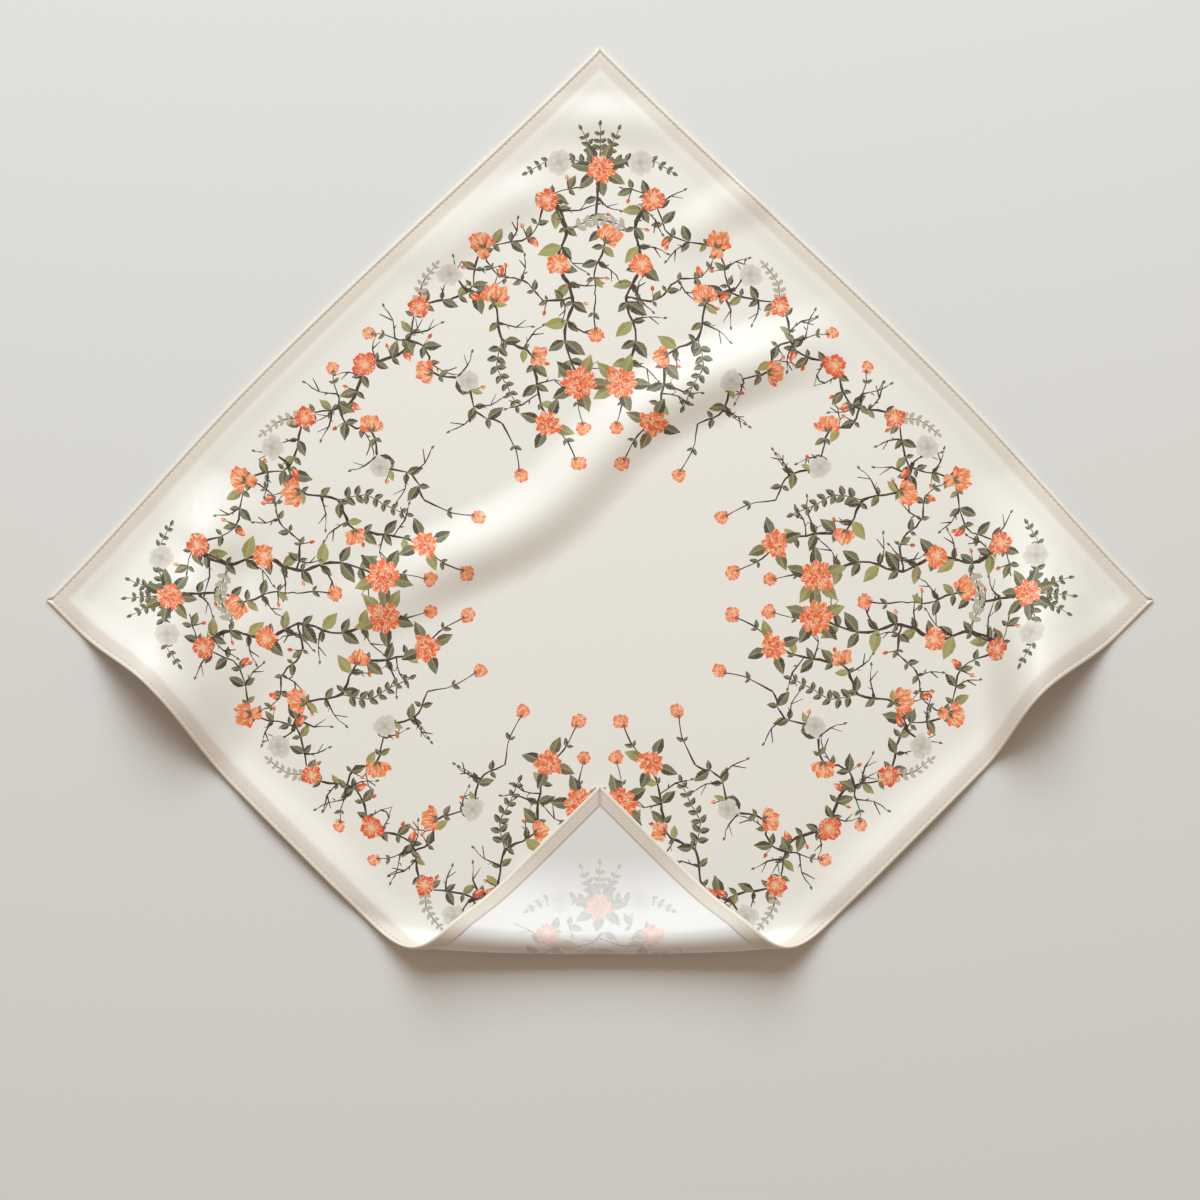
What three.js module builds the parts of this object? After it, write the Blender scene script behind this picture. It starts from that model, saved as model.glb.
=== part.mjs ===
// A square silk neckerchief that lies on a flat surface with one corner turned up and over.
// Millimetres, +Z up, origin at the middle of the bounding box's foot. The cloth lies as a diamond:
// its four corners point along +Y, +X, -Y and -X, and the corner at -Y is the one that is turned over.
// The cloth is one panel, with a narrow hem turned under along each of its four sides.
import * as THREE from "three";

// Driving sizes
const side = 530; // finished side of the square
const clothThickness = 1; // wall of one layer of cloth
const gap = 0.3; // clearance between two layers, and between two hems at a corner
const hemWidth = 10; // depth of the hem that is turned under
const settleWidth = 15; // strip beside the hem in which the panel sinks to the surface
const sideLift = 36; // height of the waves that lift the two lower sides
const sideBow = 6.8; // how far the two upper sides bow outward
const ridgeDraw = 7; // how far the ridge across the middle draws the front of the cloth back
const rollRadius = 9.5; // bend of the turned corner, halfway along the roll
const rollEndRadius = 17; // the same bend where the roll meets the sides
const rollBow = 18; // how far the ends of the roll stand back from its middle
const riseRadius = 191; // slow bend by which the cloth leaves the surface before the roll
const landingRadius = 80; // bend by which the turned corner comes to lie on the cloth
const rollStep = 9.4; // mesh step along the sides that cross the roll
const plainStep = 14; // mesh step along the rest of each side
const crestSteps = 40; // straight pieces in each fold's crest

// Shares and angles that were chosen by eye
const bowPeak = 0.4; // where each upper side bows most, as a share of its length from the outer corner
const drawReach = 0.5; // how far to each side the ridge draws, as a share of the half diagonal
const drawFront = -0.1; // where the cloth is drawn back in full, as a share of the half diagonal
const drawBack = 0.45; // where it isn't drawn at all
const rollStart = 0.58; // share of the half diagonal where the cloth leaves the surface
const rollReach = 0.35; // half the length of the roll, as a share of the half diagonal
const bentReach = 0.4; // share of a side, from the turned corner, that takes the roll's mesh step
const riseAngle = THREE.MathUtils.degToRad(6); // slope of the cloth where the roll begins
const fallAngle = THREE.MathUtils.degToRad(35); // slope of the turned corner behind the roll

// Sizes worked out from the driving ones
const halfSide = side / 2;
const halfDiagonal = side * Math.SQRT1_2;
const halfCloth = clothThickness / 2;
const hemLift = clothThickness + gap;
const panelInset = clothThickness + gap;
const mitre = gap * Math.SQRT1_2;

// Soft folds. Each is a ridge along a crest, a smooth curve through a few points. The points and the
// widths left and right of the crest are shares of the half diagonal, and the rise is a share of
// sideLift. The ridge grows over the first share of its crest, fadeIn, and dies away over the last,
// fadeOut. pull moves the lifted cloth sideways along X and Y, in shares of its rise.
const folds = [
  {
    name: "long ridge across the middle",
    crest: [[0.47, 0.49], [0.25, 0.42], [0.07, 0.33], [-0.11, 0.15], [-0.32, 0.045], [-0.52, -0.07]],
    rise: 0.23, left: 0.085, right: 0.085, fadeIn: 0.22, fadeOut: 0.3, pull: [0, 0],
  },
  {
    name: "wave at the lower left side",
    crest: [[-0.94, -0.4], [-0.83, -0.16], [-0.71, 0.09]],
    rise: 1, left: 0.15, right: 0.23, fadeIn: 0, fadeOut: 0.6, pull: [0.19, 0.19],
  },
  {
    name: "fold that runs on from the left wave",
    crest: [[-0.79, -0.13], [-0.755, 0], [-0.73, 0.075], [-0.7, 0.145], [-0.655, 0.22]],
    rise: 0.33, left: 0.1, right: 0.11, fadeIn: 0.35, fadeOut: 0.4, pull: [0, 0],
  },
  {
    name: "wave at the lower right side",
    crest: [[0.83, -0.42], [0.81, -0.17], [0.79, 0.03], [0.73, 0.24]],
    rise: 1, left: 0.13, right: 0.135, fadeIn: 0, fadeOut: 0.75, pull: [-0.21, 0.21],
  },
  {
    name: "lifted side left of the roll",
    crest: [[-0.7, -0.3], [-0.55, -0.45], [-0.4, -0.6]],
    rise: 0.125, left: 0.1, right: 0.1, fadeIn: 0.4, fadeOut: 0.4, pull: [0, 0],
  },
  {
    name: "lifted side right of the roll",
    crest: [[0.72, -0.28], [0.56, -0.44], [0.4, -0.6]],
    rise: 0.135, left: 0.1, right: 0.1, fadeIn: 0.4, fadeOut: 0.4, pull: [0, 0],
  },
  {
    name: "ripple below the top corner",
    crest: [[-0.12, 0.86], [0.02, 0.87], [0.14, 0.83]],
    rise: 0.07, left: 0.055, right: 0.055, fadeIn: 0.4, fadeOut: 0.4, pull: [0, 0],
  },
  {
    name: "ripple at the upper left",
    crest: [[-0.36, 0.58], [-0.2, 0.7], [-0.08, 0.76]],
    rise: 0.08, left: 0.06, right: 0.06, fadeIn: 0.35, fadeOut: 0.35, pull: [0, 0],
  },
  {
    name: "ripple at the upper right",
    crest: [[0.12, 0.62], [0.23, 0.71], [0.33, 0.74]],
    rise: 0.08, left: 0.06, right: 0.06, fadeIn: 0.35, fadeOut: 0.35, pull: [0, 0],
  },
];

for (const fold of folds) {
  const points = fold.crest.map(([x, y]) => new THREE.Vector2(x, y).multiplyScalar(halfDiagonal));
  fold.line = new THREE.SplineCurve(points).getPoints(crestSteps);
}

// A soft bell: 1 at its middle and 0 from its edge on, which lies at a distance of 1
function bell(distance) {
  return distance < 1 ? Math.cos((Math.PI / 2) * distance) ** 2 : 0;
}

// The nearest place on a fold's crest: its distance, its side and its share of the crest
function nearestOnCrest(line, x, y) {
  let nearest = { distance: Infinity };
  for (let i = 1; i < line.length; i += 1) {
    const from = line[i - 1];
    const run = line[i].clone().sub(from);
    const offset = new THREE.Vector2(x, y).sub(from);
    const share = THREE.MathUtils.clamp(offset.dot(run) / run.lengthSq(), 0, 1);
    const distance = offset.clone().addScaledVector(run, -share).length();
    if (distance < nearest.distance) {
      nearest = { distance, onLeft: run.cross(offset) > 0, along: (i - 1 + share) / crestSteps };
    }
  }
  return nearest;
}

// How far one fold lifts the cloth at a place
function foldRise(fold, x, y) {
  const { distance, onLeft, along } = nearestOnCrest(fold.line, x, y);
  const width = (onLeft ? fold.left : fold.right) * halfDiagonal;
  const grown = fold.fadeIn > 0 ? THREE.MathUtils.smoothstep(along, 0, fold.fadeIn) : 1;
  const dying = THREE.MathUtils.smoothstep(1 - along, 0, fold.fadeOut);
  return fold.rise * sideLift * bell(distance / width) * grown * dying;
}

// The way that a bend adds to a walk along the cloth, from one slope to another, both in radians
function bend(radius, from, to) {
  const turn = Math.sign(to - from) * radius;
  return {
    length: Math.abs(to - from) * radius,
    run: turn * (Math.sin(to) - Math.sin(from)),
    rise: turn * (Math.cos(from) - Math.cos(to)),
  };
}

// The turned corner's section: how far a point that lies past the start of the rise has run and risen
function turnedCorner(past, radius) {
  if (past <= 0) return { run: past, rise: 0 };
  const slope = Math.PI + fallAngle;
  const leaving = bend(riseRadius, 0, riseAngle);
  const rolling = bend(radius, riseAngle, slope);
  const landing = bend(landingRadius, slope, Math.PI);
  const restingHeight = clothThickness + gap;
  const fall = leaving.rise + rolling.rise + landing.rise - restingHeight;
  const straight = Math.max(0, fall) / Math.sin(fallAngle);
  const stretches = [
    { ...leaving, from: 0, radius: riseRadius, turns: 1 },
    { ...rolling, from: riseAngle, radius, turns: 1 },
    { length: straight, run: straight * Math.cos(slope), rise: straight * Math.sin(slope), turns: 0 },
    { ...landing, from: slope, radius: landingRadius, turns: -1 },
  ];
  let left = past;
  let run = 0;
  let rise = 0;
  for (const stretch of stretches) {
    if (left <= stretch.length) {
      if (stretch.turns === 0) {
        const share = left / stretch.length;
        return { run: run + share * stretch.run, rise: rise + share * stretch.rise };
      }
      const to = stretch.from + (stretch.turns * left) / stretch.radius;
      const part = bend(stretch.radius, stretch.from, to);
      return { run: run + part.run, rise: rise + part.rise };
    }
    left -= stretch.length;
    run += stretch.run;
    rise += stretch.rise;
  }
  return { run: run - left, rise };
}

// How far an upper side's bow moves the cloth outward, at a place along the side and a distance
// towards it, both from the cloth's centre. It dies away towards the middle of the cloth.
function bowed(alongSide, towardsSide) {
  const fromPeak = (alongSide + halfSide) / side - bowPeak;
  const reach = fromPeak < 0 ? bowPeak : 1 - bowPeak;
  return sideBow * bell(Math.abs(fromPeak) / reach) * THREE.MathUtils.smoothstep(towardsSide, 0, halfSide);
}

// How far the ridge draws the cloth back at a place
function drawnBack(x, y) {
  const ahead = 1 - THREE.MathUtils.smoothstep(y, drawFront * halfDiagonal, drawBack * halfDiagonal);
  return ridgeDraw * bell(Math.abs(x) / (drawReach * halfDiagonal)) * ahead;
}

// Where a point of the flat cloth comes to lie. u and v run along the sides, from the cloth's centre.
function clothPoint(u, v) {
  const spreadU = u + bowed(v, u);
  const spreadV = v + bowed(u, v);
  const across = (spreadU - spreadV) * Math.SQRT1_2;
  const along = (spreadU + spreadV) * Math.SQRT1_2;
  const drawn = drawnBack(across, along);
  const ends = (across / (rollReach * halfDiagonal)) ** 2;
  const past = rollBow * ends - along - rollStart * halfDiagonal;
  const radius = rollRadius + (rollEndRadius - rollRadius) * ends;
  const { run, rise } = turnedCorner(past, radius);

  const riseLength = riseRadius * riseAngle;
  const lying = 1 - THREE.MathUtils.smoothstep(past, riseLength / 2, 2 * riseLength);
  const inset = halfSide - Math.max(Math.abs(u), Math.abs(v));
  const onHem = 1 - THREE.MathUtils.smoothstep(inset, hemWidth, hemWidth + settleWidth);
  const height = halfCloth + rise + hemLift * onHem * lying;
  const point = new THREE.Vector3(across, along + drawn + past - run, height);
  for (const fold of folds) {
    const lift = foldRise(fold, across, along + drawn) * lying;
    point.x += fold.pull[0] * lift;
    point.y += fold.pull[1] * lift;
    point.z += lift;
  }
  return point;
}

// The cloth's middle surface and its normal, which points to the printed face
function clothFrame(u, v) {
  const step = 0.5;
  const alongU = clothPoint(u + step, v).sub(clothPoint(u - step, v));
  const alongV = clothPoint(u, v + step).sub(clothPoint(u, v - step));
  return { point: clothPoint(u, v), normal: alongU.cross(alongV).normalize() };
}

// A closed body that is put together from points on layers of the cloth
class ClothBody {
  constructor() {
    this.positions = [];
    this.rows = [];
    this.triangles = [];
  }

  // A point that stands off the middle surface by an offset along the normal
  add(u, v, offset) {
    const { point, normal } = clothFrame(u, v);
    point.addScaledVector(normal, offset);
    this.positions.push(point.x, point.y, point.z);
    this.rows.push(u + v);
    return this.rows.length - 1;
  }

  // Four corners in turn, cut along the diagonal that runs nearest to the roll's own direction
  quad(a, b, c, d) {
    const first = Math.abs(this.rows[a] - this.rows[c]);
    const second = Math.abs(this.rows[b] - this.rows[d]);
    if (first < second) this.triangles.push(a, b, c, a, c, d);
    else this.triangles.push(a, b, d, b, c, d);
  }

  geometry() {
    const made = new THREE.BufferGeometry();
    made.setAttribute("position", new THREE.Float32BufferAttribute(this.positions, 3));
    made.setIndex(this.triangles);
    made.computeVertexNormals();
    return made;
  }
}

// Even steps from one value to another, both ends included
function evenSteps(from, to, step) {
  const count = Math.max(1, Math.round((to - from) / step));
  return Array.from({ length: count + 1 }, (_, i) => THREE.MathUtils.lerp(from, to, i / count));
}

// The mesh lines between the hems' inner edges, closer together where the cloth bends over
const lines = [
  ...evenSteps(hemWidth - halfSide, bentReach * side - halfSide, rollStep),
  ...evenSteps(bentReach * side - halfSide, halfSide - hemWidth, plainStep).slice(1),
];

function makePanel() {
  const body = new ClothBody();
  const reach = halfSide - panelInset;
  const grid = [-reach, ...lines, reach];
  const layers = [halfCloth, -halfCloth].map((offset) =>
    grid.map((v) => grid.map((u) => body.add(u, v, offset))),
  );
  const [front, back] = layers;
  const last = grid.length - 1;
  for (let i = 0; i < last; i += 1) {
    for (let j = 0; j < last; j += 1) {
      body.quad(front[j][i], front[j][i + 1], front[j + 1][i + 1], front[j + 1][i]);
      body.quad(back[j + 1][i], back[j + 1][i + 1], back[j][i + 1], back[j][i]);
    }
    body.quad(front[0][i + 1], front[0][i], back[0][i], back[0][i + 1]);
    body.quad(front[last][i], front[last][i + 1], back[last][i + 1], back[last][i]);
    body.quad(front[i][0], front[i + 1][0], back[i + 1][0], back[i][0]);
    body.quad(front[i + 1][last], front[i][last], back[i][last], back[i + 1][last]);
  }
  return body.geometry();
}

// A hem's section, as distances in from the cloth's edge and offsets from the panel's middle surface.
// It is the layer that lies under the panel and the fold that wraps round the panel's edge.
const underside = -halfCloth - gap - clothThickness;
const edgeRound = clothThickness / 2;
const hemSection = [
  [hemWidth, underside],
  [edgeRound, underside],
  [0, underside + edgeRound],
  [0, halfCloth - edgeRound],
  [edgeRound, halfCloth],
  [clothThickness, halfCloth],
  [clothThickness, -halfCloth - gap],
  [hemWidth, -halfCloth - gap],
];

// The four hems, each named for the side that it follows. place turns a distance in from the edge and
// a place along it into u and v, and mirrored says that this turns the section's winding round.
const hems = [
  { name: "hem_lower_left", mirrored: false, place: (inset, along) => [inset - halfSide, along] },
  { name: "hem_lower_right", mirrored: true, place: (inset, along) => [along, inset - halfSide] },
  { name: "hem_upper_right", mirrored: true, place: (inset, along) => [halfSide - inset, along] },
  { name: "hem_upper_left", mirrored: false, place: (inset, along) => [along, halfSide - inset] },
];

function makeHem({ place, mirrored }) {
  const body = new ClothBody();
  const inner = lines.slice(1, -1);
  const rings = [-1, ...inner.keys(), inner.length].map((station) =>
    hemSection.map(([inset, offset]) => {
      const mitred = halfSide - inset - mitre;
      let along = inner[station];
      if (station < 0) along = -mitred;
      if (station === inner.length) along = mitred;
      return body.add(...place(inset, along), offset);
    }),
  );
  for (let i = 1; i < rings.length; i += 1) {
    hemSection.forEach((_, k) => {
      const next = (k + 1) % hemSection.length;
      const corners = [rings[i - 1][k], rings[i - 1][next], rings[i][next], rings[i][k]];
      body.quad(...(mirrored ? corners.reverse() : corners));
    });
  }
  const outline = hemSection.map(([inset, offset]) => new THREE.Vector2(inset, offset));
  for (const [a, b, c] of THREE.ShapeUtils.triangulateShape(outline, [])) {
    const [start, end] = [rings[0], rings[rings.length - 1]];
    const turned = THREE.ShapeUtils.isClockWise(outline) === mirrored;
    body.triangles.push(...(turned ? [start[c], start[b], start[a]] : [start[a], start[b], start[c]]));
    body.triangles.push(...(turned ? [end[a], end[b], end[c]] : [end[c], end[b], end[a]]));
  }
  return body.geometry();
}

const printedSilk = new THREE.MeshStandardMaterial({ color: "#e6e3d7", roughness: 0.55, metalness: 0 });
const hemSilk = new THREE.MeshStandardMaterial({ color: "#d2c5b6", roughness: 0.6, metalness: 0 });

const cloth = new THREE.Group();
const panel = new THREE.Mesh(makePanel(), printedSilk);
panel.name = "silk_panel";
cloth.add(panel);
for (const hem of hems) {
  const strip = new THREE.Mesh(makeHem(hem), hemSilk.clone());
  strip.name = hem.name;
  cloth.add(strip);
}

// The cloth's centre stands behind the middle of its box, because one corner is folded back
const box = new THREE.Box3().setFromObject(cloth);
const centre = box.getCenter(new THREE.Vector3());
cloth.position.set(-centre.x, -centre.y, -box.min.z);

const neckerchief = new THREE.Group();
neckerchief.add(cloth);

export default neckerchief;
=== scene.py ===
"""A square neckerchief of printed silk, lying as a diamond with one corner turned up and over."""

import math
import random

import bmesh
import bpy
import numpy as np
from mathutils import Matrix, Vector
from mathutils.geometry import delaunay_2d_cdt


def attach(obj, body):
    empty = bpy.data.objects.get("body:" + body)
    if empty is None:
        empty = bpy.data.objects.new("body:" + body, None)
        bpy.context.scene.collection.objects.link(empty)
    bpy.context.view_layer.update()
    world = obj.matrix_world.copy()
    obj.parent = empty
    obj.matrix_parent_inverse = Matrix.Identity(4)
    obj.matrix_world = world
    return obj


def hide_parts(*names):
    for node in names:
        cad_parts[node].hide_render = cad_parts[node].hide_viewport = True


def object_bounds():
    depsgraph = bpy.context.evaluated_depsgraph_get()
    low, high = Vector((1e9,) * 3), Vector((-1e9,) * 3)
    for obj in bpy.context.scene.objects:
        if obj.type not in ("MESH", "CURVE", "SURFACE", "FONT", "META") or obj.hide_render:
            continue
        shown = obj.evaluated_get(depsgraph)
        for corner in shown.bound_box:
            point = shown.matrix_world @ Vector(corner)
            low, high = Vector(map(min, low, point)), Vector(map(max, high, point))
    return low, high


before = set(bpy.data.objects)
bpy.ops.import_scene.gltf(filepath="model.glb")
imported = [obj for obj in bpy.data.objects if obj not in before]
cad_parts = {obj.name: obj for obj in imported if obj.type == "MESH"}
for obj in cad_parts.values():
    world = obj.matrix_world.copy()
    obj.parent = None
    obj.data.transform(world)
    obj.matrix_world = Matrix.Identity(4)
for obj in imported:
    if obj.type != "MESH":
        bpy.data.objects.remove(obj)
cad_low, cad_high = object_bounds()

# The place of the cloth
# The cloth's flat coordinates run from its centre along its sides, in millimetres. The centre lies behind
# the middle of the model's box, because the front corner is folded back.
MM = 0.001
SIDE = 530
HEM_GAP = 0.3  # between two hems at a corner
HALF_SIDE = SIDE / 2
HALF_DIAGONAL = SIDE * math.sqrt(0.5)
CENTRE_Y = cad_high.y / MM - (HALF_DIAGONAL - HEM_GAP / 2)

# Camera
# It looks straight down on the middle of the cloth, from far enough away that the lifted sides hardly lean.
PICTURE_WIDTH = 812.4  # what the picture's width shows on the floor
CAMERA_HEIGHT = 4000
scene = bpy.context.scene
camera_data = bpy.data.cameras.new("camera")
camera_data.sensor_width = 36
camera_data.lens = camera_data.sensor_width * CAMERA_HEIGHT / PICTURE_WIDTH
camera_data.clip_end = 20
camera = bpy.data.objects.new("camera", camera_data)
camera.location = Vector((0, CENTRE_Y, CAMERA_HEIGHT)) * MM
scene.collection.objects.link(camera)
scene.camera = camera
scene.view_settings.view_transform = "Standard"

# Floor and studio light
# A plain pale sheet of matt paper, a large soft box high behind the cloth, and a warm room that fills the
# shadows.
FLOOR_SIZE = 14000
KEY_DISTANCE = 4000
KEY_ELEVATION = math.radians(39.5)
KEY_AZIMUTH = math.radians(4)  # to the left of straight behind the cloth
KEY_SIZE = 2700
KEY_POWER = 185
ROOM_STRENGTH = 0.42


def linear(hex_colour):
    """An sRGB hex colour as linear red, green, blue and alpha."""
    parts = [int(hex_colour[i : i + 2], 16) / 255 for i in (1, 3, 5)]
    return [c / 12.92 if c <= 0.04045 else ((c + 0.055) / 1.055) ** 2.4 for c in parts] + [1]


def add_node(tree, kind, inputs=None, **settings):
    """Adds a node. inputs gives values, or other nodes' outputs to link, by the socket's name or number."""
    made = tree.nodes.new(kind)
    for name, value in settings.items():
        setattr(made, name, value)
    for socket, value in (inputs or {}).items():
        if isinstance(value, bpy.types.NodeSocket):
            tree.links.new(value, made.inputs[socket])
        else:
            made.inputs[socket].default_value = value
    return made


def blend(tree, factor, first, second):
    """A colour that goes from the first to the second as the factor rises."""
    inputs = {"Factor": factor, 6: first, 7: second}
    return add_node(tree, "ShaderNodeMix", inputs, data_type="RGBA").outputs[2]


def new_material(name):
    """An empty node material and its tree."""
    made = bpy.data.materials.new(name)
    made.use_nodes = True
    made.node_tree.nodes.clear()
    return made, made.node_tree


def new_piece(name, bm, *materials):
    """Turns a bmesh into an object of the scene."""
    mesh = bpy.data.meshes.new(name)
    bm.to_mesh(mesh)
    bm.free()
    for material in materials:
        mesh.materials.append(material)
    made = bpy.data.objects.new(name, mesh)
    scene.collection.objects.link(made)
    return made


# Matt paper: it has no gloss and hardly any grain, so that it shows the shadows alone
paper, tree = new_material("matt_paper")
grain = add_node(
    tree,
    "ShaderNodeTexNoise",
    {"Vector": add_node(tree, "ShaderNodeTexCoord").outputs["Object"], "Scale": 600.0, "Detail": 2.0},
)
tone = blend(tree, grain.outputs["Fac"], linear("#DBDBDA"), linear("#E1E1E0"))
surface = add_node(
    tree,
    "ShaderNodeBsdfPrincipled",
    {"Base Color": tone, "Roughness": 1.0, "Specular IOR Level": 0.1},
)
add_node(tree, "ShaderNodeOutputMaterial", {"Surface": surface.outputs[0]})
bm = bmesh.new()
bmesh.ops.create_grid(bm, x_segments=1, y_segments=1, size=FLOOR_SIZE / 2 * MM)
floor = new_piece("floor", bm, paper)

key_data = bpy.data.lights.new("soft_box", "AREA")
key_data.size = KEY_SIZE * MM
key_data.energy = KEY_POWER
key_data.color = linear("#EEFAFF")[:3]
key = bpy.data.objects.new("soft_box", key_data)
aim = Vector((0, CENTRE_Y, 0)) * MM
level = math.cos(KEY_ELEVATION)
towards_light = Vector(
    (-level * math.sin(KEY_AZIMUTH), level * math.cos(KEY_AZIMUTH), math.sin(KEY_ELEVATION))
)
key.location = aim + towards_light * KEY_DISTANCE * MM
key.rotation_euler = towards_light.to_track_quat("Z", "Y").to_euler()
scene.collection.objects.link(key)

room = bpy.data.worlds.new("room")
room.use_nodes = True
room.node_tree.nodes["Background"].inputs["Color"].default_value = linear("#F0D3B7")
room.node_tree.nodes["Background"].inputs["Strength"].default_value = ROOM_STRENGTH
scene.world = room

# How the cloth lies
# Fine silk holds soft rounded folds and no creases. The same sizes and folds as in the model give the height
# of the cloth at each of its points, and the way that the front corner is rolled up and over.
CLOTH_WALL = 1  # of the model's cloth, whose middle surface this one follows
LAYER_GAP = 0.3
HEM_WIDTH = 10
SETTLE_WIDTH = 15  # strip beside the hem in which the panel sinks to the floor
SIDE_LIFT = 36
SIDE_BOW = 6.8
BOW_PEAK = 0.4
RIDGE_DRAW = 7
DRAW_REACH = 0.5
DRAW_FRONT = -0.1
DRAW_BACK = 0.45
ROLL_RADIUS = 9.5
ROLL_END_RADIUS = 17
ROLL_BOW = 18
ROLL_START = 0.58
ROLL_REACH = 0.35
RISE_RADIUS = 191
LANDING_RADIUS = 80
RISE_ANGLE = math.radians(6)
FALL_ANGLE = math.radians(35)
CREST_STEPS = 40

# Points and widths are shares of the half diagonal, and rises are shares of the side lift
FOLDS = [
    {
        "name": "long ridge across the middle",
        "crest": [(0.47, 0.49), (0.25, 0.42), (0.07, 0.33), (-0.11, 0.15), (-0.32, 0.045), (-0.52, -0.07)],
        "rise": 0.23, "left": 0.085, "right": 0.085, "fade_in": 0.22, "fade_out": 0.3, "pull": (0, 0),
    },
    {
        "name": "wave at the lower left side",
        "crest": [(-0.94, -0.4), (-0.83, -0.16), (-0.71, 0.09)],
        "rise": 1, "left": 0.15, "right": 0.23, "fade_in": 0, "fade_out": 0.6, "pull": (0.19, 0.19),
    },
    {
        "name": "fold that runs on from the left wave",
        "crest": [(-0.79, -0.13), (-0.755, 0), (-0.73, 0.075), (-0.7, 0.145), (-0.655, 0.22)],
        "rise": 0.33, "left": 0.1, "right": 0.11, "fade_in": 0.35, "fade_out": 0.4, "pull": (0, 0),
    },
    {
        "name": "wave at the lower right side",
        "crest": [(0.83, -0.42), (0.81, -0.17), (0.79, 0.03), (0.73, 0.24)],
        "rise": 1, "left": 0.13, "right": 0.135, "fade_in": 0, "fade_out": 0.75, "pull": (-0.21, 0.21),
    },
    {
        "name": "lifted side left of the roll",
        "crest": [(-0.7, -0.3), (-0.55, -0.45), (-0.4, -0.6)],
        "rise": 0.125, "left": 0.1, "right": 0.1, "fade_in": 0.4, "fade_out": 0.4, "pull": (0, 0),
    },
    {
        "name": "lifted side right of the roll",
        "crest": [(0.72, -0.28), (0.56, -0.44), (0.4, -0.6)],
        "rise": 0.135, "left": 0.1, "right": 0.1, "fade_in": 0.4, "fade_out": 0.4, "pull": (0, 0),
    },
    {
        "name": "ripple below the top corner",
        "crest": [(-0.12, 0.86), (0.02, 0.87), (0.14, 0.83)],
        "rise": 0.07, "left": 0.055, "right": 0.055, "fade_in": 0.4, "fade_out": 0.4, "pull": (0, 0),
    },
    {
        "name": "ripple at the upper left",
        "crest": [(-0.36, 0.58), (-0.2, 0.7), (-0.08, 0.76)],
        "rise": 0.08, "left": 0.06, "right": 0.06, "fade_in": 0.35, "fade_out": 0.35, "pull": (0, 0),
    },
    {
        "name": "ripple at the upper right",
        "crest": [(0.12, 0.62), (0.23, 0.71), (0.33, 0.74)],
        "rise": 0.08, "left": 0.06, "right": 0.06, "fade_in": 0.35, "fade_out": 0.35, "pull": (0, 0),
    },
]


def smooth_step(value, low, high):
    """0 below low, 1 above high, with a soft start and end between them."""
    share = np.clip((value - low) / (high - low), 0, 1)
    return share * share * (3 - 2 * share)


def smooth_curve(points, steps):
    """Points on a smooth curve that goes through the given points."""
    points = np.array(points, dtype=float)
    ends = np.vstack([points[:1], points, points[-1:]])
    curve = []
    for reached in np.linspace(0, len(points) - 1, steps + 1):
        start = min(int(reached), len(points) - 2)
        t = reached - start
        before, a, b, after = ends[start : start + 4]
        leaving, arriving = (b - before) / 2, (after - a) / 2
        curve.append(
            (2 * a - 2 * b + leaving + arriving) * t**3
            + (3 * b - 3 * a - 2 * leaving - arriving) * t**2
            + leaving * t
            + a
        )
    return np.array(curve)


def bell(distance):
    """1 at its middle and 0 from its edge on, which lies at a distance of 1."""
    return np.cos(math.pi / 2 * np.minimum(distance, 1)) ** 2


def fold_rise(fold, x, y):
    """How far one fold lifts the cloth at each place."""
    crest = smooth_curve(fold["crest"], CREST_STEPS) * HALF_DIAGONAL
    reach = max(fold["left"], fold["right"]) * HALF_DIAGONAL
    low, high = crest.min(axis=0) - reach, crest.max(axis=0) + reach
    near = (x > low[0]) & (x < high[0]) & (y > low[1]) & (y < high[1])
    x, y = x[near], y[near]
    distance = np.full(x.shape, np.inf)
    on_left = np.zeros(x.shape, dtype=bool)
    along = np.zeros(x.shape)
    for step in range(CREST_STEPS):
        run = crest[step + 1] - crest[step]
        dx, dy = x - crest[step, 0], y - crest[step, 1]
        share = np.clip((dx * run[0] + dy * run[1]) / run.dot(run), 0, 1)
        here = np.hypot(dx - share * run[0], dy - share * run[1])
        closer = here < distance
        distance = np.where(closer, here, distance)
        on_left = np.where(closer, run[0] * dy - run[1] * dx > 0, on_left)
        along = np.where(closer, (step + share) / CREST_STEPS, along)
    width = np.where(on_left, fold["left"], fold["right"]) * HALF_DIAGONAL
    grown = smooth_step(along, 0, fold["fade_in"]) if fold["fade_in"] else 1
    dying = smooth_step(1 - along, 0, fold["fade_out"])
    rise = np.zeros(near.shape)
    rise[near] = fold["rise"] * SIDE_LIFT * bell(distance / width) * grown * dying
    return rise


def bend(radius, start, end):
    """The run and the rise of a bend from one slope to another."""
    turn = np.sign(end - start) * radius
    return turn * (np.sin(end) - np.sin(start)), turn * (np.cos(start) - np.cos(end))


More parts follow.
